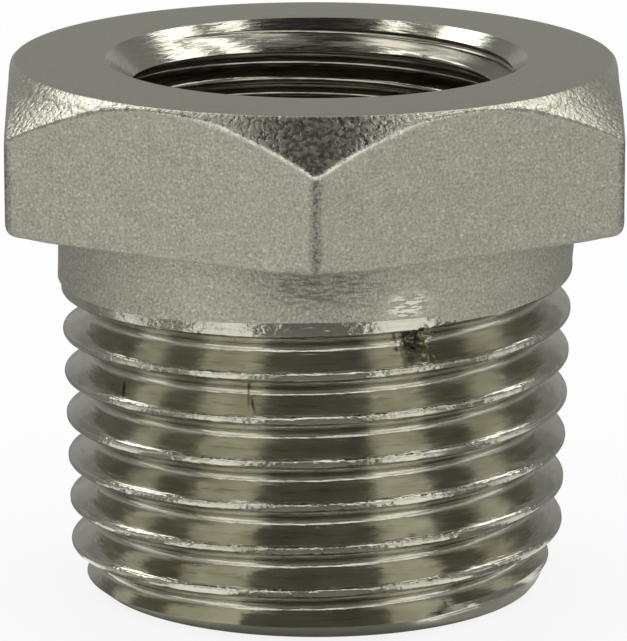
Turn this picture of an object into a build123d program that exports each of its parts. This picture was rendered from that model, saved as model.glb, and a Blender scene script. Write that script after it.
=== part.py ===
"""Hex bushing: a cast stainless reducer, with a taper pipe thread outside and a parallel one inside.

It stands on the end face of its male thread, at z = 0, with its axis on +Z and the hexagon on top.
Sizes are in millimetres and angles in degrees.
"""

from build123d import *
from math import atan, ceil, cos, degrees, radians, tan
import os

inch = 25.4

# Hexagon head, as cast
across_flats = 25.0
overall_height = 22.2
head_height = 6.1
corner_radius = 0.4  # on the six upright edges
under_radius = 0.3  # along the lower edge of the flats
facing_allowance = 3.0  # cast on top, and faced off once the bore is threaded

# Machined top face, and the conical chamfer that runs down to the corners
top_face_diameter = 24.7
top_chamfer_angle = 45  # from the axis

# Cast neck between the hexagon and the male thread
neck_diameter = 21.5
neck_height = 2.6
neck_fillet = 0.4

# Male thread: 1/2 inch, 14 turns an inch, on a taper of 1 in 16 of its diameter
male_pitch = inch / 14
male_gauge_diameter = 20.955
male_gauge_length = 8.2  # from the end face to the gauge diameter
male_taper = 1 / 16
male_groove_gap = 0.9  # from where the groove starts to run out, up to the neck
male_runout_turn = 0.25
end_face_diameter = 18.3
end_chamfer_height = 0.85

# Female thread: 3/8 inch, 19 turns an inch, parallel, behind a countersunk mouth
female_pitch = inch / 19
bore_diameter = 14.95
female_groove_length = 11.5  # from the top face to where the tap's lead starts
female_lead_turns = 2
mouth_diameter = 17.4
mouth_angle = 45  # from the axis

# Plain passage below the female thread
passage_diameter = 14.3
passage_gap = 0.85  # from the passage up to the foot of the tap's lead
passage_step_angle = 59  # from the axis, as the drill left it
passage_chamfer = 0.5

# Form of both threads, with flat crests and roots of one width
flank_angle = 27.5  # from a plane square to the axis
depth_share = 0.640327  # depth, as a share of the pitch
tool_clearance = 0.1  # how far the thread tool stands proud of the crest

# Places that follow from those sizes
head_underside = overall_height - head_height
neck_bottom = head_underside - neck_height
male_groove_length = neck_bottom - male_groove_gap
corner_reach = across_flats / 2 / cos(radians(30))
top_radius = top_face_diameter / 2
top_chamfer_drop = (corner_reach - top_radius) / tan(radians(top_chamfer_angle))
mouth_depth = (mouth_diameter - bore_diameter) / 2 / tan(radians(mouth_angle))
female_start = overall_height - female_groove_length
lead_height = female_lead_turns * female_pitch
passage_height = female_start - lead_height - passage_gap
passage_step_drop = (bore_diameter - passage_diameter) / 2 / tan(radians(passage_step_angle))
taper_angle = degrees(atan(male_taper / 2))


def male_crest_radius(height):
    """Radius of the male thread's crest, at a height above the end face."""
    return (male_gauge_diameter + (height - male_gauge_length) * male_taper) / 2


def thread_groove(pitch, crest_radius, start, turns, cone_angle, inwards):
    """What a thread tool removes as it climbs, right-handed, from +X at the start height."""
    depth = depth_share * pitch
    slope = tan(radians(flank_angle))
    root_half_width = pitch / 4 - depth * slope / 2
    mouth_half_width = root_half_width + (depth + tool_clearance) * slope
    side = -1 if inwards else 1
    root_radius = crest_radius + side * depth
    mouth_radius = crest_radius - side * tool_clearance
    slant_pitch = pitch / cos(radians(cone_angle))  # the pitch of a conical helix is along the cone's side
    reach = turns * slant_pitch  # a little past its turns, so that a groove and its run-out overlap
    with BuildPart() as groove:
        with BuildLine() as path:
            Helix(slant_pitch, reach, crest_radius, (0, 0, start), cone_angle=cone_angle)
        with BuildSketch(Plane.XZ):
            with BuildLine():
                Polyline(
                    (root_radius, start - root_half_width),
                    (root_radius, start + root_half_width),
                    (mouth_radius, start + mouth_half_width),
                    (mouth_radius, start - mouth_half_width),
                    close=True,
                )
            make_face()
        sweep(path=path.line, is_frenet=True)
    return groove.part


# Male groove: whole turns on the taper, then a run-out that climbs clear of the neck
male_turns = ceil(male_groove_length / male_pitch) + 1
male_start = male_groove_length - male_turns * male_pitch
male_start_radius = male_crest_radius(male_start)
male_groove = thread_groove(male_pitch, male_start_radius, male_start, male_turns, taper_angle, True)
male_end_radius = male_crest_radius(male_groove_length)
runout_climb = neck_diameter / 2 + tool_clearance - male_end_radius + depth_share * male_pitch
runout_angle = degrees(atan(runout_climb / (male_runout_turn * male_pitch)))
male_runout = thread_groove(
    male_pitch, male_end_radius, male_groove_length, male_runout_turn, runout_angle, True
)

# Female groove: whole turns up into the allowance, above the lead that the tap leaves
female_turns = ceil((female_groove_length + female_pitch) / female_pitch)
female_groove = thread_groove(female_pitch, bore_diameter / 2, female_start, female_turns, 0, False)
lead_climb = depth_share * female_pitch + tool_clearance
female_lead = thread_groove(
    female_pitch,
    bore_diameter / 2 - lead_climb,
    female_start - lead_height,
    female_lead_turns,
    degrees(atan(lead_climb / lead_height)),
    False,
)

with BuildPart() as hex_bushing:
    # Cast hexagon, with one corner towards -Y
    with BuildSketch(Plane.XY.offset(head_underside)):
        RegularPolygon(across_flats / 2, 6, major_radius=False, rotation=30)
    extrude(amount=head_height + facing_allowance)
    fillet(hex_bushing.edges().filter_by(Axis.Z), corner_radius)
    fillet(hex_bushing.faces().sort_by(Axis.Z)[0].edges(), under_radius)

    # Neck, and the tapered blank of the male thread
    with BuildSketch(Plane.XZ):
        with BuildLine():
            Polyline(
                (0, 0),
                (end_face_diameter / 2, 0),
                (male_crest_radius(end_chamfer_height), end_chamfer_height),
                (male_crest_radius(neck_bottom), neck_bottom),
                (neck_diameter / 2, neck_bottom),
                (neck_diameter / 2, head_underside),
                (0, head_underside),
                close=True,
            )
        make_face()
    revolve(axis=Axis.Z)
    underside_edges = hex_bushing.edges().filter_by_position(Axis.Z, head_underside, head_underside)
    fillet(underside_edges.sort_by(SortBy.LENGTH)[-1], neck_fillet)

    # Bore, stepped down to the passage
    with BuildSketch(Plane.XZ):
        with BuildLine():
            Polyline(
                (0, 0),
                (passage_diameter / 2, 0),
                (passage_diameter / 2, passage_height),
                (bore_diameter / 2, passage_height + passage_step_drop),
                (bore_diameter / 2, overall_height + facing_allowance),
                (0, overall_height + facing_allowance),
                close=True,
            )
        make_face()
    revolve(axis=Axis.Z, mode=Mode.SUBTRACT)

    # Threads
    for groove in (male_groove, male_runout, female_groove, female_lead):
        add(groove, mode=Mode.SUBTRACT)

    # Top face, and the conical chamfer round it
    with BuildSketch(Plane.XZ):
        with BuildLine():
            Polyline(
                (0, 0),
                (corner_reach, 0),
                (corner_reach, overall_height - top_chamfer_drop),
                (top_radius, overall_height),
                (0, overall_height),
                close=True,
            )
        make_face()
    revolve(axis=Axis.Z, mode=Mode.INTERSECT)

    # Countersunk mouth, and the chamfer at the passage's lower end
    with BuildSketch(Plane.XZ):
        with BuildLine():
            Polyline(
                (0, overall_height - mouth_depth),
                (bore_diameter / 2, overall_height - mouth_depth),
                (mouth_diameter / 2, overall_height),
                (0, overall_height),
                close=True,
            )
        make_face()
        with BuildLine():
            Polyline(
                (0, 0),
                (passage_diameter / 2 + passage_chamfer, 0),
                (passage_diameter / 2, passage_chamfer),
                (0, passage_chamfer),
                close=True,
            )
        make_face()
    revolve(axis=Axis.Z, mode=Mode.SUBTRACT)

hex_bushing.part.label = "hex_bushing"

os.makedirs("parts", exist_ok=True)
export_step(hex_bushing.part, "parts/hex_bushing.step")
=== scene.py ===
"""Hex bushing: the finished surfaces of a cast and machined reducing bushing, and a studio round it.

Lengths are in metres, as Blender has them, and MM turns a size in millimetres into one. The bushing
stands on the end of its male thread, on the axis +Z, with one corner of its hexagon towards -Y.
"""

from math import atan2, cos, floor, hypot, pi, radians, sin, sqrt, tan

import bmesh
import bpy
from bpy.props import FloatProperty, IntProperty, PointerProperty, StringProperty
from mathutils import Matrix, Vector, noise


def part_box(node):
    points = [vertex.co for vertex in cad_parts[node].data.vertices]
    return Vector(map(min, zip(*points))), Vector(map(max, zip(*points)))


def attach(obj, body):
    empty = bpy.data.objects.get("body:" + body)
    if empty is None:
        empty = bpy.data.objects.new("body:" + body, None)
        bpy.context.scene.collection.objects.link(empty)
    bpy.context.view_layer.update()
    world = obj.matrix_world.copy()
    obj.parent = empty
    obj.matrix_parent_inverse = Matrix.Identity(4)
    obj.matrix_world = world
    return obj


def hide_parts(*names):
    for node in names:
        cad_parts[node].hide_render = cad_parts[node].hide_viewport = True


bl_info = {
    "name": "Hex Bushing",
    "version": (1, 0, 0),
    "blender": (4, 5, 0),
    "location": "View3D > Sidebar > Hex Bushing",
    "description": "Builds a cast and threaded hex reducing bushing, with its finishes and a studio",
    "category": "Add Mesh",
}

MM = 0.001
INCH = 25.4 * MM

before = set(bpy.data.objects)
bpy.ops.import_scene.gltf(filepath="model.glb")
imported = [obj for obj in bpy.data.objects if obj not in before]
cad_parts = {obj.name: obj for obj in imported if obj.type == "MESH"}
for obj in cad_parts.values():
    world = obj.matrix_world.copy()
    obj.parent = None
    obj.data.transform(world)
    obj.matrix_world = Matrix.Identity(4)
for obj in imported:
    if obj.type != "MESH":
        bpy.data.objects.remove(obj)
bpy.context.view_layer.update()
node_low, node_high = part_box("hex_bushing")
ACROSS_FLATS = node_high[0] - node_low[0]
HEIGHT = node_high[2] - node_low[2]

CAST, CHAMFER, FACED, THREAD, MOUTH, BORE, END, PIT = range(8)


def length(name, description, default):
    """A size that a user may change, in metres."""
    return FloatProperty(
        name=name, description=description, default=default, min=0.0, unit="LENGTH", precision=5
    )


def colour(name, description, default):
    """A colour that a user may change, as an sRGB hex value."""
    return StringProperty(name=name, description=description, default=default)


class HexBushingSizes(bpy.types.PropertyGroup):
    """The sizes of the bushing, apart from the height and the hexagon, which come from the frame."""

    head_height: length("Head height", "Height of the hexagon", 6.1 * MM)
    corner_radius: length("Corner radius", "Round of the hexagon's upright edges", 0.4 * MM)
    under_radius: length("Lower edge radius", "Round of the hexagon's lower edge", 0.3 * MM)
    lower_corner_radius: length("Lower corner radius", "Round of its lower corners", 0.7 * MM)
    top_face_diameter: length("Top face", "Diameter of the faced top", 24.7 * MM)
    top_edge_radius: length("Top edge radius", "Round between top face and chamfer", 0.12 * MM)
    chamfer_edge_radius: length("Chamfer edge radius", "Round between chamfer and flats", 0.55 * MM)
    neck_diameter: length("Neck diameter", "Diameter of the cast neck", 21.5 * MM)
    neck_height: length("Neck height", "Height of the cast neck", 2.6 * MM)
    neck_fillet: length("Neck fillet", "Fillet between neck and hexagon", 0.4 * MM)
    turning_offset: length("Turning offset", "How far the turned axis is from the cast one", 0.12 * MM)
    male_pitch: length("Male pitch", "14 turns an inch", INCH / 14)
    male_gauge_diameter: length("Gauge diameter", "Male crest at the gauge length", 20.955 * MM)
    male_gauge_length: length("Gauge length", "From the end face to the gauge diameter", 8.2 * MM)
    male_taper: FloatProperty(name="Taper", description="Growth of diameter along the axis", default=1 / 16)
    male_groove_gap: length("Groove gap", "From the groove's run-out up to the neck", 0.9 * MM)
    male_runout_turn: FloatProperty(name="Run-out", description="Turns in which it runs out", default=0.25)
    end_face_diameter: length("End face", "Diameter of the end face", 18.3 * MM)
    end_chamfer_height: length("End chamfer", "Height of the chamfer at the end", 0.85 * MM)
    female_pitch: length("Female pitch", "19 turns an inch", INCH / 19)
    bore_diameter: length("Bore", "Diameter over the female thread's crests", 14.95 * MM)
    female_groove_length: length("Female thread", "From the top face to the tap's lead", 11.5 * MM)
    female_lead_turns: FloatProperty(name="Lead", description="Turns of the tap's lead", default=2.0)
    mouth_diameter: length("Mouth", "Diameter of the countersunk mouth", 17.4 * MM)
    passage_diameter: length("Passage", "Diameter of the plain passage", 14.3 * MM)
    passage_gap: length("Passage gap", "From the passage up to the foot of the lead", 0.85 * MM)
    passage_chamfer: length("Passage chamfer", "Chamfer at the passage's lower end", 0.5 * MM)
    columns: IntProperty(name="Columns to a sector", description="Even number of mesh columns", default=44)


class HexBushingFinish(bpy.types.PropertyGroup):
    """The colours of the bushing's finishes."""

    cast_colour: colour("Blasted casting", "Investment-cast stainless, blasted", "#b8b6a7")
    # Painted highlight: bright specks laid on the tops of the blasted grain.
    painted_glint_colour: colour("Glints", "Bright grains of the blasted skin", "#eeece2")
    # Dark rubbed marks on the casting, and also the painted shade in the pits of the blasted skin and on
    # the hexagon's rounded corners.
    scuff_and_shade_colour: colour("Scuffs", "Dark rubbed marks on the casting", "#5d5750")
    faced_colour: colour("Faced top", "Stainless, faced on a lathe", "#a5a290")
    turned_colour: colour("Turned thread", "Stainless, cut bright by a die", "#b6b4a5")
    # The tapped bore's colour is darker than the turned one: painted shade, for the inside of the bore.
    tapped_shaded_colour: colour("Tapped bore", "Stainless, cut by a tap and dull with oil", "#979386")
    stain_colour: colour("Oil stain", "Brown film that cutting oil leaves", "#7f7965")


def linear(hex_colour):
    """An sRGB hex colour as linear RGBA."""
    channels = [int(hex_colour[i : i + 2], 16) / 255 for i in (1, 3, 5)]
    return [c / 12.92 if c <= 0.04045 else ((c + 0.055) / 1.055) ** 2.4 for c in channels] + [1.0]


def smooth_step(low, high, value):
    """0 below low, 1 above high, and a smooth rise between."""
    share = min(max((value - low) / (high - low), 0.0), 1.0)
    return share * share * (3 - 2 * share)


# ---------------------------------------------------------------- the mesh, and how uneven the casting is

LEVEL = 0.001 * MM  # nearer than this, two heights are one
WELD = 0.002 * MM  # nearer than this, two vertices are one
BORE_SIDE = 8.8 * MM  # nearer the axis than this, a point under the head belongs to the bore
TOP_OF_SKIN = HEIGHT - 0.2 * MM  # above this height the head isn't rough
TEAR_HEIGHT = 0.035 * MM  # of the metal that the die tore up on the male crests
TEAR_DEPTH = 0.3  # in pitches below the crest, where the tears end
TEAR_FREQUENCY = 1400  # to the metre, as the two below
WAVE_FREQUENCY = 350
GRIT_FREQUENCY = 1800
WAVE_DEPTH = 0.05 * MM  # how far the cast skin sinks at most, in waves and in grit
GRIT_DEPTH = 0.012 * MM
CAST_CLEARANCE = 0.03 * MM  # how far the blank's skin under the neck stands inside the neck's
SHRINKAGE = 0.11 * MM  # how far the casting falls short of its size, on the right
SHRUNK_FROM = 2.5 * MM  # to the right of the axis, where that begins and where it is full
SHRUNK_TO = 6 * MM
SKIN_LEFT_ABOVE = 12.3 * MM  # height above which the blank's cast skin is left beside the thread
SKIN_FOOT_FROM = 3 * MM  # to the right of the axis, where the neck's foot keeps its cast skin
DIE_RISE = 0.42 * MM  # how far the helix brings the neck's foot down on the left
DIE_REACH = 0.85 * MM  # how far above and below the foot that is felt
DRESSED_SIDE = 0.75  # cosine of the angle from +X up to which the lowest male crest is dressed down
UNDRESSED_SIDE = -0.1  # and past which it is left alone
OUT_OF_REACH = 1.2 * MM  # a limit that is raised by this never meets the crest
CORNER_COLUMNS = 8  # of the mesh, to each upright edge of the hexagon
CORNER_FROM = 13.4 * MM  # distance from the axis where the lower edge's round starts to grow
CORNER_TO = 14.3 * MM
HEAD_RUNS = (4, 8, 8, 8, 6)  # rows to the top face, chamfer, flat, underside and neck
DRILL_ANGLE = radians(59)  # from the axis, of the cone that a drill leaves
SHARP_EDGE = radians(34)  # an edge that turns further isn't shaded smooth

# ---------------------------------------------------------------- thread form

FLANK_ANGLE = radians(27.5)  # from a plane square to the axis
ROUND_SHARE = 0.137329  # radius of crest and root, as a share of the pitch
ROUND_HALF = ROUND_SHARE * cos(FLANK_ANGLE)  # half the width of a rounded crest
ROUND_DROP = ROUND_SHARE * (1 - sin(FLANK_ANGLE))  # its height
DEPTH_SHARE = (0.5 - 2 * ROUND_HALF) / tan(FLANK_ANGLE) + 2 * ROUND_DROP
ARC_STEPS = 6
FLANK_STEPS = 2


def thread_depth(phase):
    """Depth below the crest, in pitches, at a distance in pitches from the middle of a root."""
    from_root = abs(phase - round(phase))
    from_crest = 0.5 - from_root
    if from_crest < ROUND_HALF:
        return ROUND_SHARE - sqrt(ROUND_SHARE**2 - from_crest**2)
    if from_root < ROUND_HALF:
        return DEPTH_SHARE - ROUND_SHARE + sqrt(ROUND_SHARE**2 - from_root**2)
    return ROUND_DROP + (from_crest - ROUND_HALF) / tan(FLANK_ANGLE)


def thread_rows():
    """Where the rows of one pitch stand, in pitches from the middle of a root."""
    half_angle = pi / 2 - FLANK_ANGLE
    arc = [ROUND_SHARE * sin(half_angle * (2 * i / ARC_STEPS - 1)) for i in range(ARC_STEPS + 1)]
    flank = [ROUND_HALF + (0.5 - 2 * ROUND_HALF) * i / FLANK_STEPS for i in range(1, FLANK_STEPS)]
    return arc + flank + [0.5 + place for place in arc] + [0.5 + place for place in flank]


def helical_skin(pitch, root_start, low, high, columns):
    """A tube of rows that climb one pitch a turn, spun up the axis and joined to itself."""
    bm = bmesh.new()
    first = floor((low - root_start) / pitch) - 2
    last = floor((high - root_start) / pitch) + 2
    heights = [root_start + pitch * (turn + row) for turn in range(first, last) for row in thread_rows()]
    line = [bm.verts.new((MM, 0, height)) for height in heights]
    edges = [bm.edges.new(pair) for pair in zip(line, line[1:])]
    bmesh.ops.spin(
        bm,
        geom=line + edges,
        cent=(0, 0, 0),
        axis=(0, 0, 1),
        dvec=(0, 0, pitch / columns),
        angle=2 * pi,
        steps=columns,
        use_merge=False,
        use_duplicate=False,
    )
    bmesh.ops.remove_doubles(bm, verts=bm.verts, dist=WELD)
    return bm


def groove_place(point, pitch, root_start):
    """A point's angle in turns, its phase from the middle of a root, and that root's count of turns."""
    angle = atan2(point.y, point.x) / (2 * pi) % 1.0
    turns_up = (point.z - root_start) / pitch - angle
    return angle, turns_up - round(turns_up), round(turns_up) + angle


def set_radius(vert, radius):
    """Puts a vertex at a radius, on its own angle."""
    scale = radius / hypot(vert.co.x, vert.co.y)
    vert.co.x *= scale
    vert.co.y *= scale


def lean(verts, slope, radius):
    """Raises vertices by their distance outside a radius, which turns a cone into a plane and back."""
    for vert in verts:
        vert.co.z += slope * (hypot(vert.co.x, vert.co.y) - radius)


def cut_away(bm, height, upwards):
    """Cuts a mesh level at a height, and takes away what is above it or below it."""
    bmesh.ops.bisect_plane(
        bm,
        geom=bm.verts[:] + bm.edges[:] + bm.faces[:],
        dist=WELD / 4,
        plane_co=(0, 0, height),
        plane_no=(0, 0, 1 if upwards else -1),
        clear_outer=True,
    )


def male_crest_radius(sizes, height):
    """Radius of the male thread's crest, at a height above the end face."""
    return (sizes.male_gauge_diameter + (height - sizes.male_gauge_length) * sizes.male_taper) / 2


def cast_radius(sizes, vert):
    """Radius of the cast blank just below the neck, in the direction of a vertex."""
    return sizes.neck_diameter / 2 - CAST_CLEARANCE - shrunk_side(vert)


def shrunk_side(vert):
    """How far the casting falls short of its size, in the direction of a vertex: on the right alone."""
    return SHRINKAGE * smooth_step(SHRUNK_FROM, SHRUNK_TO, vert.co.x)


def male_thread(sizes, places):
    """The male thread, tapered, run out below the neck and cut by the cone of the end chamfer.

    On the right the crest next to the end face is dressed down, and where the crest under the neck
    reaches past the blank, its faces take the cast finish.
    """
    pitch = sizes.male_pitch
    groove_end = places["neck_bottom"] - sizes.male_groove_gap
    bm = helical_skin(pitch, groove_end, 0, places["neck_bottom"], places["columns"])
    end_radius = sizes.end_face_diameter / 2
    for vert in bm.verts:
        _, phase, turn = groove_place(vert.co, pitch, groove_end)
        height = vert.co.z
        crest = male_crest_radius(sizes, height)
        depth = pitch * thread_depth(phase) * (1 - smooth_step(0, sizes.male_runout_turn, turn))
        near_crest = smooth_step(TEAR_DEPTH, 0.0, thread_depth(phase))
        tear = TEAR_HEIGHT * noise.noise(vert.co * TEAR_FREQUENCY) * near_crest
        side = vert.co.x / hypot(vert.co.x, vert.co.y)
        raised = OUT_OF_REACH * smooth_step(DRESSED_SIDE, UNDRESSED_SIDE, side)
        dressed = end_radius + height / 2 + 0.1 * MM + raised
        radius = min(crest + tear, dressed, crest - depth)
        set_radius(vert, max(radius, end_radius + 0.02 * MM - height / 2))
    slope = sizes.end_chamfer_height / (male_crest_radius(sizes, sizes.end_chamfer_height) - end_radius)
    cut_away(bm, places["neck_bottom"], upwards=True)
    lean(bm.verts, -slope, end_radius)
    cut_away(bm, 0, upwards=False)
    lean(bm.verts, slope, end_radius)
    for face in bm.faces:
        middle = face.calc_center_median()
        left_cast = middle.z > SKIN_LEFT_ABOVE and all(
            hypot(vert.co.x, vert.co.y) > cast_radius(sizes, vert) - 4 * LEVEL for vert in face.verts
        )
        face.material_index = CAST if left_cast else THREAD
    return bm


def bore(sizes, places):
    """The female thread, faded out down the tap's lead and cut by the cone of the mouth."""
    pitch = sizes.female_pitch
    bore_radius = sizes.bore_diameter / 2
    groove_start = HEIGHT - sizes.female_groove_length
    lead = sizes.female_lead_turns
    foot = groove_start - lead * pitch - sizes.passage_gap / 2
    bm = helical_skin(pitch, groove_start, foot, HEIGHT, places["columns"])
    for vert in bm.verts:
        _, phase, turn = groove_place(vert.co, pitch, groove_start)
        depth = pitch * thread_depth(phase) * smooth_step(-lead, 0, turn)
        set_radius(vert, bore_radius + depth)
    mouth_floor = HEIGHT - (sizes.mouth_diameter / 2 - bore_radius)
    cut_away(bm, foot, upwards=False)
    lean(bm.verts, -1, bore_radius)
    cut_away(bm, mouth_floor, upwards=True)
    lean(bm.verts, 1, bore_radius)
    for face in bm.faces:
        face.material_index = BORE
    return bm, foot, mouth_floor


def passage(sizes, places):
    """The plain passage, its chamfer and the end face round it."""
    radius = sizes.passage_diameter / 2
    lead_height = sizes.female_lead_turns * sizes.female_pitch
    step = HEIGHT - sizes.female_groove_length - lead_height - sizes.passage_gap
    rise = (sizes.bore_diameter / 2 - radius) / tan(DRILL_ANGLE)
    outline = [
        (sizes.end_face_diameter / 2, 0),
        (radius + sizes.passage_chamfer + 0.05 * MM, 0),
        (radius + sizes.passage_chamfer, 0.02 * MM),
        (radius, sizes.passage_chamfer),
        (radius, step),
        (sizes.bore_diameter / 2, step + rise),
    ]
    bm = bmesh.new()
    line = [bm.verts.new((x, 0, z)) for x, z in outline]
    edges = [bm.edges.new(pair) for pair in zip(line, line[1:])]
    bmesh.ops.spin(
        bm, geom=line + edges, cent=(0, 0, 0), axis=(0, 0, 1), angle=2 * pi,
        steps=places["columns"], use_merge=True, use_duplicate=False,
    )
    for face in bm.faces:
        face.material_index = FACED if face.calc_center_median().z < LEVEL else BORE
    return bm


# ---------------------------------------------------------------- cast head and neck


def rounded_path(points, radii, run_steps):
    """Points along a bent line whose corners are rounded: as many of them, whatever the line's size.

    A round takes at most 0.45 of either run beside it.
    """
    path = [points[0]]
    for before, corner, after, radius, steps in zip(points, points[1:], points[2:], radii, run_steps):
        back, ahead = before - corner, after - corner
        turn = pi - back.angle(ahead)
        reach = min(radius * tan(turn / 2), 0.45 * back.length, 0.45 * ahead.length)
        start = corner + back.normalized() * reach
        end = corner + ahead.normalized() * reach
        run_start = path[-1]
        path += [run_start.lerp(start, step / steps) for step in range(1, steps)]
        for step in range(ARC_STEPS + 1):
            share = step / ARC_STEPS
            path.append(start.lerp(corner, share).lerp(corner.lerp(end, share), share))
    run_start, steps = path[-1], run_steps[-1]
    return path + [run_start.lerp(points[-1], step / steps) for step in range(1, steps + 1)]


def hexagon_point(sizes, column):
    """The point of the rounded hexagon's outline that a column of the mesh stands on."""
    flat_columns = (sizes.columns - CORNER_COLUMNS) // 2
    sector, place = divmod(column, sizes.columns)
    from_corner = place - sizes.columns / 2
    side = -1 if from_corner < 0 else 1
    if abs(from_corner) > CORNER_COLUMNS / 2:
        share = (abs(from_corner) - CORNER_COLUMNS / 2) / flat_columns
        straight = (ACROSS_FLATS / 2 - sizes.corner_radius) * tan(radians(30))
        point = Vector((ACROSS_FLATS / 2, -side * straight * (1 - share)))
        turn = side * radians(30)
    else:
        angle = radians(30) * from_corner / (CORNER_COLUMNS / 2)
        centre = (ACROSS_FLATS / 2 - sizes.corner_radius) / cos(radians(30))
        point = Vector((centre + sizes.corner_radius * cos(angle), sizes.corner_radius * sin(angle)))
        turn = 0
    turn += radians(30 + 60 * sector)
    return Vector((point.x * cos(turn) - point.y * sin(turn), point.x * sin(turn) + point.y * cos(turn)))


def head_profile(sizes, places, reach):
    """The rows of one column, from the mouth over the top face and the flat to the foot of the neck."""
    top_radius = sizes.top_face_diameter / 2
    corner_share = smooth_step(CORNER_FROM, CORNER_TO, reach)
    lower_radius = sizes.under_radius + corner_share * (sizes.lower_corner_radius - sizes.under_radius)
    points = [
        Vector((sizes.mouth_diameter / 2, HEIGHT)),
        Vector((top_radius, HEIGHT)),
        Vector((reach, HEIGHT - (reach - top_radius))),
        Vector((reach, places["underside"])),
        Vector((sizes.neck_diameter / 2, places["underside"])),
        Vector((sizes.neck_diameter / 2, places["neck_bottom"])),
    ]
    radii = (sizes.top_edge_radius, sizes.chamfer_edge_radius, lower_radius, sizes.neck_fillet)
    return rounded_path(points, radii, HEAD_RUNS)


def head_and_neck(sizes, places):
    """The hexagon and the neck: a spun lattice, each column of it laid along its own profile."""
    columns = places["columns"]
    profiles, directions = [], []
    for column in range(columns):
        point = hexagon_point(sizes, column)
        directions.append(point.normalized())
        profiles.append(head_profile(sizes, places, point.length))
    bm = bmesh.new()
    line = [bm.verts.new((MM, 0, row * MM)) for row in range(len(profiles[0]))]
    edges = [bm.edges.new(pair) for pair in zip(line, line[1:])]
    bmesh.ops.spin(
        bm, geom=line + edges, cent=(0, 0, 0), axis=(0, 0, 1), angle=2 * pi,
        steps=columns, use_merge=True, use_duplicate=False,
    )
    top_radius = sizes.top_face_diameter / 2
    for vert in bm.verts:
        column = round(atan2(vert.co.y, vert.co.x) / (2 * pi) * columns) % columns
        radius, height = profiles[column][round(vert.co.z / MM)]
        direction = directions[column]
        on_top = height > HEIGHT - LEVEL
        outer = top_radius if on_top else sizes.neck_diameter / 2 + 1.2 * MM
        inner = (sizes.mouth_diameter if on_top else sizes.neck_diameter) / 2
        off_head = on_top or height < places["underside"] + LEVEL
        turned = smooth_step(outer, inner, radius) if off_head else 0
        vert.co = (direction.x * radius + turned * sizes.turning_offset, direction.y * radius, height)
    bm.normal_update()
    if max(bm.faces, key=lambda face: face.calc_center_median().z).normal.z < 0:
        bmesh.ops.reverse_faces(bm, faces=bm.faces)
        bm.normal_update()
    for face in bm.faces:
        on_top = face.calc_center_median().z > HEIGHT - 2 * LEVEL
        face.material_index = FACED if on_top else CHAMFER if face.normal.z > 0.15 else CAST
    roughen_casting(bm, sizes, places)
    return bm


def roughen_casting(bm, sizes, places):
    """Lets the cast skin sink unevenly, and draws the foot of the neck in on the right."""
    neck_bottom = places["neck_bottom"]
    for vert in bm.verts:
        if vert.co.z > TOP_OF_SKIN:
            continue
        wave = 0.5 + 0.5 * noise.noise(vert.co * WAVE_FREQUENCY)
        grit = 0.5 + 0.5 * noise.noise(vert.co * GRIT_FREQUENCY)
        fade = smooth_step(TOP_OF_SKIN, TOP_OF_SKIN - 0.4 * MM, vert.co.z)
        fade *= smooth_step(neck_bottom, neck_bottom + 0.5 * MM, vert.co.z)
        vert.co -= vert.normal * (WAVE_DEPTH * wave + GRIT_DEPTH * grit) * fade
        drawn_in = shrunk_side(vert) * smooth_step(neck_bottom + 1.4 * MM, neck_bottom, vert.co.z)
        set_radius(vert, hypot(vert.co.x, vert.co.y) - drawn_in)


def follow_the_die(bm, places):
    """Brings the foot of the neck down towards the left with the helix, where the die ran up to it."""
    neck_bottom = places["neck_bottom"]
    for vert in bm.verts:
        share = 1 - abs(vert.co.z - neck_bottom) / DIE_REACH
        if share > 0 and hypot(vert.co.x, vert.co.y) > BORE_SIDE:
            left = smooth_step(0.5 * MM, -10 * MM, vert.co.x)
            vert.co.z -= DIE_RISE * left * share


PIT_ANGLE = radians(-65.5)  # about the axis, from +X
PIT_HEIGHT = 12.32 * MM  # above the end face
PIT_REACH = 0.62 * MM  # from its middle to its rim
PIT_DEPTH = 0.55 * MM
PIT_SKIN_RADIUS = 10.2 * MM  # of the skin that it opens in
PIT_FREQUENCY = 2600  # to the metre, of its ragged rim
TORN_FREQUENCY = 4200  # and of the torn metal in it
RIM_HEIGHT = 0.07 * MM
FAR_AWAY = 9.0  # in shares of the pit's reach


def from_pit(point):
    """Distance from the middle of the pit over the outer skin, in shares of its reach."""
    if hypot(point.x, point.y) < BORE_SIDE:
        return FAR_AWAY
    along = (atan2(point.y, point.x) - PIT_ANGLE) * PIT_SKIN_RADIUS
    return hypot(along, point.z - PIT_HEIGHT) / PIT_REACH


def casting_pit(bm):
    """A hole in the casting that the die cut open, with a torn rim."""
    near = [edge for edge in bm.edges if all(from_pit(vert.co) < 1.8 for vert in edge.verts)]
    bmesh.ops.subdivide_edges(bm, edges=near, cuts=3, use_grid_fill=True)
    for vert in bm.verts:
        away = from_pit(vert.co)
        if away < 1.4:
            away *= 1 + 0.6 * noise.noise(vert.co * PIT_FREQUENCY)
            torn = 0.5 + 0.5 * noise.noise(vert.co * TORN_FREQUENCY)
            sunk = PIT_DEPTH * smooth_step(0.9, 0.4, away) * (0.6 + 0.4 * torn)
            lifted = RIM_HEIGHT * smooth_step(0.35, 0.0, abs(away - 1.05)) * torn
            set_radius(vert, hypot(vert.co.x, vert.co.y) - sunk + lifted)
            vert.co.z += 0.06 * MM * (torn - 0.5) * smooth_step(1.3, 0.8, away)
    for face in bm.faces:
        if from_pit(face.calc_center_median()) < 0.55:
            face.material_index = PIT


# ---------------------------------------------------------------- joining


def add_mesh(bm, other, shift):
    """Adds one bmesh to another, moved sideways, and frees it."""
    bmesh.ops.translate(other, verts=other.verts, vec=(shift, 0, 0))
    mesh = bpy.data.meshes.new("part")
    other.to_mesh(mesh)
    other.free()
    bm.from_mesh(mesh)
    bpy.data.meshes.remove(mesh)


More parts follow.
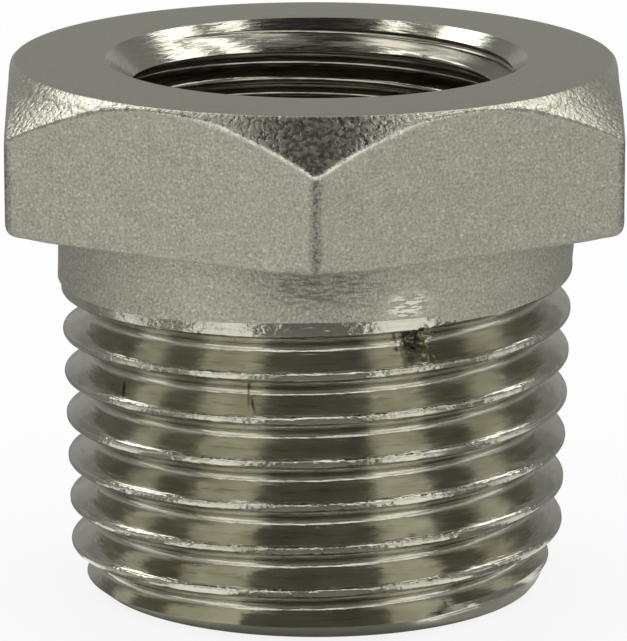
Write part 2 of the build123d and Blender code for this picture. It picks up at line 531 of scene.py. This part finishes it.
def rim_edges(bm, low, high, inner, outer):
    """The open edges that lie between two heights and two radii."""
    found = []
    for edge in bm.edges:
        if edge.is_boundary:
            middle = (edge.verts[0].co + edge.verts[1].co) / 2
            if low < middle.z < high and inner < hypot(middle.x, middle.y) < outer:
                found.append(edge)
    return found


def fill_ring(bm, edges, index):
    """Fills the ring between two rims that lie in one level plane, or on one cone, seen from above."""
    verts = list({vert for edge in edges for vert in edge.verts})
    heights = [vert.co.z for vert in verts]
    for vert in verts:
        vert.co.z = 0
    filled = bmesh.ops.triangle_fill(bm, use_beauty=True, edges=edges)["geom"]
    for vert, height in zip(verts, heights):
        vert.co.z = height
    for item in filled:
        if isinstance(item, bmesh.types.BMFace):
            item.material_index = index


def bushing_mesh(sizes):
    """The whole bushing as one closed mesh."""
    places = {"columns": 6 * sizes.columns, "underside": HEIGHT - sizes.head_height}
    places["neck_bottom"] = places["underside"] - sizes.neck_height
    offset = sizes.turning_offset
    bm = bmesh.new()
    add_mesh(bm, head_and_neck(sizes, places), 0)
    add_mesh(bm, male_thread(sizes, places), offset)
    female, foot, mouth_floor = bore(sizes, places)
    add_mesh(bm, female, offset)
    add_mesh(bm, passage(sizes, places), offset)

    near = 0.05 * MM
    neck_bottom = places["neck_bottom"]
    outside = (8 * MM, 12 * MM)
    fill_ring(bm, rim_edges(bm, neck_bottom - near, neck_bottom + near, *outside), THREAD)
    for face in bm.faces:
        middle = face.calc_center_median()
        if abs(middle.z - neck_bottom) < near and middle.x > SKIN_FOOT_FROM:
            face.material_index = CAST
    inside = (7 * MM, 10 * MM)
    mouth_rims = rim_edges(bm, mouth_floor - near, HEIGHT + near, *inside)
    fill_ring(bm, mouth_rims, MOUTH)
    end_rims = rim_edges(bm, -near, sizes.end_chamfer_height + near, *outside)
    fill_ring(bm, end_rims, END)
    passage_rims = rim_edges(bm, foot - sizes.passage_gap, foot + near, *inside)
    joined = bmesh.ops.bridge_loops(bm, edges=passage_rims)
    for face in joined["faces"]:
        face.material_index = BORE
    bmesh.ops.remove_doubles(bm, verts=bm.verts, dist=WELD)
    follow_the_die(bm, places)
    casting_pit(bm)
    bmesh.ops.recalc_face_normals(bm, faces=bm.faces)
    for face in bm.faces:
        face.smooth = True
    for edge in bm.edges:
        edge.smooth = edge.calc_face_angle(0) < SHARP_EDGE
    open_edges = sum(1 for edge in bm.edges if not edge.is_manifold)
    if open_edges:
        raise RuntimeError(f"the bushing's mesh has {open_edges} open or doubled edges")
    mesh = bpy.data.meshes.new("hex_bushing_skin")
    bm.to_mesh(mesh)
    bm.free()
    return mesh


# ---------------------------------------------------------------- finishes

NICK_COLOUR = linear("#4a3d2c")
PIT_COLOUR = linear("#35302a")
# centre, size and stretch of each dark nick and upright hairline on the thread
NICKS = (
    ((-7.75 * MM, -6.7 * MM, 5.3 * MM), 0.32 * MM, (1, 1, 1)),
    ((4.3 * MM, -9.2 * MM, 5.6 * MM), 0.28 * MM, (1, 1, 1)),
    ((6.0 * MM, -8.4 * MM, 7.8 * MM), 0.22 * MM, (1, 1, 1)),
    ((-2.67 * MM, -9.43 * MM, 10.35 * MM), 0.09 * MM, (1, 0.1, 0.12)),
    ((-7.76 * MM, -6.15 * MM, 9.69 * MM), 0.09 * MM, (1, 0.1, 0.12)),
)
# centre, size and stretch of the dark streaks on the neck and of the patch that a tool grazed
RUBBED = ((0.2 * MM, -10.6 * MM, 14.9 * MM), 3.4 * MM, (1, 1, 3.4))
GRAZED = ((3.75 * MM, -10.1 * MM, 14.0 * MM), 1.35 * MM, (1, 1, 1.7))
# Painted shade on the hexagon's rounded upright corners, drawn as darker pits.
CORNER_SHADE = (14.2 * MM, 14.36 * MM)  # distances from the axis where it begins and where it is full
CREST_BAND = (-0.09125 * MM, -0.02125 * MM)  # from the crest's cone, where tears begin and are full


def add_node(tree, kind, inputs=(), output=None, **settings):
    """Adds a shader node with its settings, values and links.

    The inputs are a dictionary by name, or a sequence in the order of the node's own sockets. It
    returns the output that is asked for, or else the node.
    """
    node = tree.nodes.new("ShaderNode" + kind)
    for name, value in settings.items():
        setattr(node, name, value)
    for name, value in dict(inputs if isinstance(inputs, dict) else enumerate(inputs)).items():
        if isinstance(value, bpy.types.NodeSocket):
            tree.links.new(value, node.inputs[name])
        else:
            node.inputs[name].default_value = value
    return node.outputs[output] if output else node


def new_material(name):
    """A fresh material and its empty node tree."""
    material = bpy.data.materials.new(name)
    material.use_nodes = True
    material.node_tree.nodes.clear()
    return material, material.node_tree


def new_metal(name):
    """A fresh material, its empty node tree and its Object coordinates."""
    material, tree = new_material(name)
    return material, tree, add_node(tree, "TexCoord", output="Object")


def finished_metal(material, colour, roughness, bumps):
    """Gives a metal its colour, its roughness and its bumps of real depth, the lowest of them first."""
    tree = material.node_tree
    inputs = {"Metallic": 1.0, "Base Color": colour, "Roughness": roughness}
    for pattern, depth in bumps:
        bump = {"Height": pattern, "Distance": depth}
        if "Normal" in inputs:
            bump["Normal"] = inputs["Normal"]
        inputs["Normal"] = add_node(tree, "Bump", bump, "Normal")
    shader = add_node(tree, "BsdfPrincipled", inputs, "BSDF")
    add_node(tree, "OutputMaterial", {"Surface": shader})
    return material


def grain(tree, place, size, detail=2.0, stretch=(1, 1, 1)):
    """Noise whose grains are a real size across, in metres, drawn out along an axis by a stretch below 1.

    Real grit and tool lines are partly finer than 0.05 mm, and are drawn as coarse as they need to show.
    """
    mapped = add_node(tree, "Mapping", {"Vector": place, "Scale": stretch}, "Vector")
    return add_node(tree, "TexNoise", {"Vector": mapped, "Scale": 1 / size, "Detail": detail}, "Fac")


def near_mark(tree, place, centre, size, stretch):
    """1 at a mark's centre and 0 beyond its reach, where a stretch below 1 draws the mark out."""
    shift = [-axis * scale for axis, scale in zip(centre, stretch)]
    mapped = add_node(tree, "Mapping", {"Vector": place, "Location": shift, "Scale": stretch}, "Vector")
    away = add_node(tree, "VectorMath", (mapped,), "Value", operation="LENGTH")
    return add_node(tree, "MapRange", (away, 0.35 * size, size, 1.0, 0.0), "Result")


def from_axis(tree, place, offset=0.0):
    """The distance from an upright axis, which stands to the right of the origin by an offset."""
    flat = {"Vector": place, "Location": (-offset, 0, 0), "Scale": (1, 1, 0)}
    level = add_node(tree, "Mapping", flat, "Vector")
    return add_node(tree, "VectorMath", (level,), "Value", operation="LENGTH")


def layered(tree, colour, layers):
    """Lays colours over a first one, and returns the result and the share that the last of them shows.

    Each is a colour, a mask, and a pattern with the range it is mapped from and to.
    """
    for over, mask, pattern in layers:
        found = add_node(tree, "MapRange", pattern, "Result")
        share = add_node(tree, "Math", (mask, found), "Value", operation="MULTIPLY")
        mix = {"Factor": share, "A": colour, "B": over}
        colour = add_node(tree, "Mix", mix, "Result", data_type="RGBA")
    return colour, share


def blasted_casting(finish):
    """Investment-cast stainless, blasted: an even grey of fine pits, with painted shade in their hollows
    and painted glints on their tops.

    The foot of the neck has a patch that a tool grazed bright, and dark rubbed streaks above it. Painted
    shade darkens the hexagon's rounded upright corners.
    """
    material, tree, place = new_metal("blasted_casting")
    cloud = grain(tree, place, 1.1 * MM, 4)
    pits = grain(tree, place, 0.11 * MM, 3)
    grit = grain(tree, place, 0.06 * MM, 1)
    drawn = grain(tree, place, 0.5 * MM, 3, (1, 1, 4.5))
    # mask of the painted shade on the hexagon's rounded upright corners
    corners = add_node(tree, "MapRange", (from_axis(tree, place), *CORNER_SHADE, 0.0, 0.9), "Result")
    scuff_and_shade = linear(finish.scuff_and_shade_colour)
    layers = (
        (scuff_and_shade, 1.0, (cloud, 0.35, 0.7, 0.0, 0.1)),
        # painted shade: darker where the pits' bump is lowest
        (scuff_and_shade, 1.0, (pits, 0.3, 0.5, 0.36, 0.0)),
        # painted highlight: glints where the pits' bump is highest
        (linear(finish.painted_glint_colour), 1.0, (pits, 0.56, 0.72, 0.0, 0.5)),
        (scuff_and_shade, 1.0, (drawn, 0.4, 0.65, 0.0, 0.14)),
        # painted shade on the hexagon's rounded upright corners
        (scuff_and_shade, corners, (pits, 0.35, 0.55, 1.0, 0.45)),
        (scuff_and_shade, near_mark(tree, place, *RUBBED), (drawn, 0.42, 0.62, 0.0, 0.55)),
        (linear(finish.turned_colour), near_mark(tree, place, *GRAZED), (drawn, 0.38, 0.5, 0.25, 1.0)),
    )
    tone, grazed = layered(tree, linear(finish.cast_colour), layers)
    even = add_node(tree, "MapRange", (grit, 0.35, 0.65, 0.4, 0.54), "Result")
    polish = add_node(tree, "MapRange", (grazed, 0.0, 1.0, 1.0, 0.25), "Result")
    rough = add_node(tree, "Math", (even, polish), "Value", operation="MULTIPLY")
    worn_down = add_node(tree, "MapRange", (grazed, 0.0, 0.7, 1.0, 0.08), "Result")
    low_grit = add_node(tree, "Math", (grit, worn_down), "Value", operation="MULTIPLY")
    low_pits = add_node(tree, "Math", (pits, worn_down), "Value", operation="MULTIPLY")
    return finished_metal(material, tone, rough, ((low_grit, 0.02 * MM), (low_pits, 0.05 * MM)))


def rough_chamfer(finish):
    """The cast chamfer, dressed by a coarse tool: torn, glinting and streaked."""
    material, tree, place = new_metal("rough_chamfer")
    torn = grain(tree, place, 0.2 * MM, 3)
    streak = grain(tree, place, 0.14 * MM, 2, (1, 1, 0.3))
    rough = add_node(tree, "MapRange", (torn, 0.35, 0.65, 0.2, 0.34), "Result")
    bumps = ((streak, 0.014 * MM), (torn, 0.038 * MM))
    return finished_metal(material, linear(finish.cast_colour), rough, bumps)


def faced_top(finish):
    """Stainless faced on a lathe: satin, with very fine rings about the axis."""
    material, tree, place = new_metal("faced_top")
    waves = {"Vector": place, "Scale": 1 / (4 * MM), "Distortion": 1.2, "Detail": 2.0}
    rings = add_node(tree, "TexWave", waves, "Fac", wave_type="RINGS", rings_direction="Z")
    fine = grain(tree, place, 0.08 * MM, 1)
    rough = add_node(tree, "MapRange", (fine, 0.3, 0.7, 0.3, 0.4), "Result")
    bumps = ((fine, 0.006 * MM), (rings, 0.003 * MM))
    return finished_metal(material, linear(finish.faced_colour), rough, bumps)


def on_crest(tree, place, sizes):
    """1 on the male thread's crests and 0 on its flanks, from the distance to the taper's cone."""
    height = add_node(tree, "SeparateXYZ", (place,), "Z")
    growth = add_node(tree, "Math", (height, sizes.male_taper / 2), "Value", operation="MULTIPLY")
    away = from_axis(tree, place, sizes.turning_offset)
    cone = add_node(tree, "Math", (away, growth), "Value", operation="SUBTRACT")
    low, high = (male_crest_radius(sizes, 0) + gap for gap in CREST_BAND)
    return add_node(tree, "MapRange", (cone, low, high, 0.0, 1.0), "Result")


def turned_thread(finish, sizes):
    """Stainless cut by a die: bright, with fine lines round the axis, a film of oil and small nicks."""
    material, tree, place = new_metal("turned_thread")
    lines = grain(tree, place, 0.05 * MM, 2, (0.04, 0.04, 1))
    chatter = grain(tree, place, 0.12 * MM, 3, (0.1, 0.1, 1))
    film = grain(tree, place, 1.2 * MM, 4, (0.5, 0.5, 1))
    stain = (linear(finish.stain_colour), 1.0, (film, 0.42, 0.7, 0.0, 0.4))
    tone, _ = layered(tree, linear(finish.turned_colour), (stain,))
    for nick in NICKS:
        mix = {"Factor": near_mark(tree, place, *nick), "A": tone, "B": NICK_COLOUR}
        tone = add_node(tree, "Mix", mix, "Result", data_type="RGBA")
    rough = add_node(tree, "MapRange", (chatter, 0.35, 0.7, 0.08, 0.26), "Result")
    patches = add_node(tree, "MapRange", (film, 0.42, 0.55, 0.15, 1.0), "Result")
    crest = add_node(tree, "Math", (on_crest(tree, place, sizes), patches), "Value", operation="MULTIPLY")
    shreds = grain(tree, place, 0.22 * MM, 3, (0.6, 0.6, 1))
    torn = add_node(tree, "Math", (shreds, crest), "Value", operation="MULTIPLY")
    bumps = ((lines, 0.006 * MM), (chatter, 0.022 * MM), (torn, 0.065 * MM))
    return finished_metal(material, tone, rough, bumps)


def countersunk_mouth(finish):
    """Stainless cut bright by a countersink: nearly a mirror, with a few rings."""
    material, tree, place = new_metal("countersunk_mouth")
    rings = grain(tree, place, 0.1 * MM, 3, (0.12, 0.12, 1))
    rough = add_node(tree, "MapRange", (rings, 0.35, 0.65, 0.1, 0.2), "Result")
    return finished_metal(material, linear(finish.turned_colour), rough, ((rings, 0.014 * MM),))


def tapped_bore(finish):
    """Stainless cut by a tap: a little rougher than the outer thread, and a little darker with painted
    shade, for the inside of the bore.
    """
    material, tree, place = new_metal("tapped_bore")
    lines = grain(tree, place, 0.06 * MM, 2, (0.05, 0.05, 1))
    rough = add_node(tree, "MapRange", (lines, 0.35, 0.65, 0.14, 0.26), "Result")
    # its colour holds painted shade, for the inside of the bore
    return finished_metal(material, linear(finish.tapped_shaded_colour), rough, ((lines, 0.008 * MM),))


def turned_end(finish):
    """The end chamfer, turned dull: a satin band."""
    material, tree, place = new_metal("turned_end")
    grit = grain(tree, place, 0.1 * MM, 2)
    return finished_metal(material, linear(finish.turned_colour), 0.42, ((grit, 0.01 * MM),))


def open_pit(finish):
    """The inside of the casting pit: rough, and coloured darker where its torn noise is low."""
    material, tree, place = new_metal("open_pit")
    torn = grain(tree, place, 0.12 * MM, 3)
    darker_patches = (PIT_COLOUR, 1.0, (torn, 0.4, 0.62, 0.85, 0.1))
    tone, _ = layered(tree, linear(finish.cast_colour), (darker_patches,))
    return finished_metal(material, tone, 0.4, ((torn, 0.08 * MM),))


# ---------------------------------------------------------------- studio

# name, centre, size, radiance
LAMPS = (
    ("box_left", (-0.385, 0.235, 0.44), (0.22, 0.19), 4.0),
    ("box_right", (0.39, 0.19, 0.42), (0.2, 0.21), 2.6),
    ("strip_left", (-0.106, 0.41, 0.5), (0.078, 0.56), 2.6),
    ("strip_right", (0.100, 0.41, 0.5), (0.067, 0.56), 2.4),
    ("strip_far_right", (0.236, 0.2, 0.5), (0.06, 0.9), 3.0),
    ("strip_far_left", (-0.215, 0.2, 0.5), (0.05, 0.9), 2.4),
)

SCREEN_STEP = 6  # degrees to each face of a screen
# (radius, height) of the ends of a line that is spun into a table top, walls and a ceiling
TABLE = ((9.9 * MM, 0.05 * MM), (0.9, 0.05 * MM))
WALL_LOW = ((0.62, 0.0), (0.62, 0.2))
WALL_HIGH = ((0.62, 0.2), (0.55, 0.52))
CEILING = ((1 * MM, 0.53), (0.9, 0.53))
# name, those two ends, azimuths from the camera's side in degrees, radiance
SCREENS = (
    ("table_front", *TABLE, (-24, 24), 0.26),
    ("table_front_right", *TABLE, (24, 48), 1.4),
    ("table_gap_right", *TABLE, (48, 73), 0.25),
    ("table_right", *TABLE, (73, 97), 1.15),
    ("table_far_right", *TABLE, (97, 106), 0.35),
    ("table_back", *TABLE, (106, 252), 0.3),
    ("table_left", *TABLE, (-92, -74), 1.25),
    ("table_gap_left", *TABLE, (-74, -52), 0.32),
    ("table_front_left", *TABLE, (-52, -24), 1.4),
    ("table_far_left", *TABLE, (-108, -92), 0.3),
    ("wall_low_front", *WALL_LOW, (-24, 24), 0.12),
    ("wall_low_right", *WALL_LOW, (24, 110), 0.7),
    ("wall_low_left", *WALL_LOW, (-110, -24), 0.7),
    ("wall_low_back", *WALL_LOW, (110, 250), 0.42),
    ("wall_high_front", *WALL_HIGH, (-60, 60), 1.7),
    ("wall_high_right", *WALL_HIGH, (60, 115), 0.35),
    ("wall_high_left", *WALL_HIGH, (-115, -60), 0.35),
    ("wall_high_back_right", *WALL_HIGH, (115, 150), 0.28),
    ("wall_high_back", *WALL_HIGH, (150, 210), 0.3),
    ("wall_high_back_left", *WALL_HIGH, (210, 245), 0.28),
    ("ceiling_front", *CEILING, (-90, 90), 0.03),
    ("ceiling_back_right", *CEILING, (90, 158), 0.3),
    ("ceiling_back", *CEILING, (158, 202), 0.03),
    ("ceiling_back_left", *CEILING, (202, 270), 0.3),
)

CAMERA_LENS = 321.06  # millimetres, on a sensor of 36
CAMERA_ELEVATION = 13.385  # degrees, as the two below
CAMERA_DIP = 0.246  # how far below the target it looks
CAMERA_AZIMUTH = -0.4  # from -Y towards +X
CAMERA_DISTANCE = 238.0 * MM
CAMERA_TARGET = 12.05 * MM  # height of its target, a point on the axis


def screen(context, name, start, end, azimuths, radiance):
    """A studio screen that only reflections see: a line spun round the axis between two azimuths."""
    first, last = azimuths
    bm = bmesh.new()
    line = [bm.verts.new((0, -radius, height)) for radius, height in (start, end)]
    edge = bm.edges.new(line)
    bmesh.ops.rotate(bm, verts=line, cent=(0, 0, 0), matrix=Matrix.Rotation(radians(first), 3, "Z"))
    bmesh.ops.spin(
        bm, geom=line + [edge], cent=(0, 0, 0), axis=(0, 0, 1), angle=radians(last - first),
        steps=max(round((last - first) / SCREEN_STEP), 1), use_merge=False, use_duplicate=False,
    )
    mesh = bpy.data.meshes.new(name)
    bm.to_mesh(mesh)
    bm.free()
    material, tree = new_material(name)
    glow = add_node(tree, "Emission", {"Color": (radiance, radiance, radiance, 1)}, "Emission")
    add_node(tree, "OutputMaterial", {"Surface": glow})
    mesh.materials.append(material)
    panel = bpy.data.objects.new(name, mesh)
    panel.visible_camera = False
    panel.visible_diffuse = False
    panel.visible_shadow = False
    context.collection.objects.link(panel)


def studio_world(scene):
    """White to the camera and to mirroring rays, and a plain grey where it only lights.

    The screens stand in front of nearly all of the white that the metal could mirror.
    """
    world = bpy.data.worlds.new("studio")
    world.use_nodes = True
    tree = world.node_tree
    tree.nodes.clear()
    rays = add_node(tree, "LightPath").outputs
    first_two = (rays["Is Camera Ray"], rays["Is Glossy Ray"])
    seen = add_node(tree, "Math", first_two, "Value", operation="MAXIMUM")
    seen = add_node(tree, "Math", (seen, rays["Is Transmission Ray"]), "Value", operation="MAXIMUM")
    levels = {"Factor": seen, "A": (0.7, 0.7, 0.7, 1), "B": (1, 1, 1, 1)}
    level = add_node(tree, "Mix", levels, "Result", data_type="RGBA")
    ground = add_node(tree, "Background", {"Color": level, "Strength": 1.0}, "Background")
    add_node(tree, "OutputWorld", {"Surface": ground})
    scene.world = world


def studio_floor(context):
    """A white floor that keeps a faint shadow."""
    bm = bmesh.new()
    bmesh.ops.create_grid(bm, x_segments=1, y_segments=1, size=0.6)
    mesh = bpy.data.meshes.new("floor")
    bm.to_mesh(mesh)
    bm.free()
    material, tree = new_material("white_paper")
    seen = add_node(tree, "LightPath", output="Is Camera Ray")
    share = add_node(tree, "MapRange", (seen, 0, 1, 0.0, 0.85), "Result")
    paper = add_node(tree, "BsdfDiffuse", {"Color": (0.8, 0.8, 0.8, 1)}, "BSDF")
    white = add_node(tree, "Emission", {"Color": (1, 1, 1, 1), "Strength": 1.0}, "Emission")
    mixed = add_node(tree, "MixShader", (share, paper, white), "Shader")
    add_node(tree, "OutputMaterial", {"Surface": mixed})
    mesh.materials.append(material)
    floor_object = bpy.data.objects.new("floor", mesh)
    context.collection.objects.link(floor_object)


def studio_lights(context):
    """Two soft boxes behind, long strips overhead, and the screens that the metal mirrors."""
    for name, centre, size, radiance in LAMPS:
        light = bpy.data.lights.new(name, "AREA")
        light.shape = "RECTANGLE"
        light.size, light.size_y = size
        light.energy = radiance * pi * size[0] * size[1]
        lamp = bpy.data.objects.new(name, light)
        lamp.location = centre
        if not name.startswith("strip"):
            lamp.rotation_euler = (-lamp.location).to_track_quat("-Z", "Y").to_euler()
        lamp.visible_camera = False
        context.collection.objects.link(lamp)
    for shape in SCREENS:
        screen(context, *shape)


def studio_camera(context):
    """The camera, which looks a little below its target."""
    camera = bpy.data.cameras.new("camera")
    camera.sensor_width = 36
    camera.lens = CAMERA_LENS
    camera.clip_start = 0.01
    eye = bpy.data.objects.new("camera", camera)
    up = radians(CAMERA_ELEVATION)
    turn = radians(CAMERA_AZIMUTH)
    out = CAMERA_DISTANCE * cos(up)
    eye.location = (out * sin(turn), -out * cos(turn), CAMERA_TARGET + CAMERA_DISTANCE * sin(up))
    eye.rotation_euler = (radians(90 - CAMERA_ELEVATION - CAMERA_DIP), 0, turn)
    context.collection.objects.link(eye)
    context.scene.camera = eye


# ---------------------------------------------------------------- operators


class HEXBUSHING_OT_bushing(bpy.types.Operator):
    """Builds the bushing, with its finishes"""

    bl_idname = "hexbushing.bushing"
    bl_label = "Build Bushing"

    def execute(self, context):
        finish = context.scene.hex_bushing_finish
        sizes = context.scene.hex_bushing_sizes
        mesh = bushing_mesh(sizes)
        for material in (
            blasted_casting(finish),
            rough_chamfer(finish),
            faced_top(finish),
            turned_thread(finish, sizes),
            countersunk_mouth(finish),
            tapped_bore(finish),
            turned_end(finish),
            open_pit(finish),
        ):
            mesh.materials.append(material)
        piece = bpy.data.objects.new("hex_bushing_skin", mesh)
        context.collection.objects.link(piece)
        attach(piece, "root")
        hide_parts("hex_bushing")
        return {"FINISHED"}


class HEXBUSHING_OT_studio(bpy.types.Operator):
    """Builds the world, the floor, the lights, the screens and the camera"""

    bl_idname = "hexbushing.studio"
    bl_label = "Build Studio"

    def execute(self, context):
        scene = context.scene
        scene.view_settings.view_transform = "Standard"
        studio_world(scene)
        studio_floor(context)
        studio_lights(context)
        studio_camera(context)
        return {"FINISHED"}


class HEXBUSHING_PT_panel(bpy.types.Panel):
    """The bushing's sizes and colours, and the buttons that build it"""

    bl_label = "Hex Bushing"
    bl_idname = "HEXBUSHING_PT_panel"
    bl_space_type = "VIEW_3D"
    bl_region_type = "UI"
    bl_category = "Hex Bushing"

    def draw(self, context):
        layout = self.layout
        for settings in (context.scene.hex_bushing_sizes, context.scene.hex_bushing_finish):
            for name in settings.__annotations__:
                layout.prop(settings, name)
        layout.operator(HEXBUSHING_OT_bushing.bl_idname)
        layout.operator(HEXBUSHING_OT_studio.bl_idname)


CLASSES = (
    HexBushingSizes,
    HexBushingFinish,
    HEXBUSHING_OT_bushing,
    HEXBUSHING_OT_studio,
    HEXBUSHING_PT_panel,
)


def register():
    for cls in CLASSES:
        bpy.utils.register_class(cls)
    bpy.types.Scene.hex_bushing_sizes = PointerProperty(type=HexBushingSizes)
    bpy.types.Scene.hex_bushing_finish = PointerProperty(type=HexBushingFinish)


def unregister():
    del bpy.types.Scene.hex_bushing_finish
    del bpy.types.Scene.hex_bushing_sizes
    for cls in reversed(CLASSES):
        bpy.utils.unregister_class(cls)


def main():
    register()
    bpy.ops.hexbushing.bushing()
    bpy.ops.hexbushing.studio()


if __name__ == "__main__":
    main()
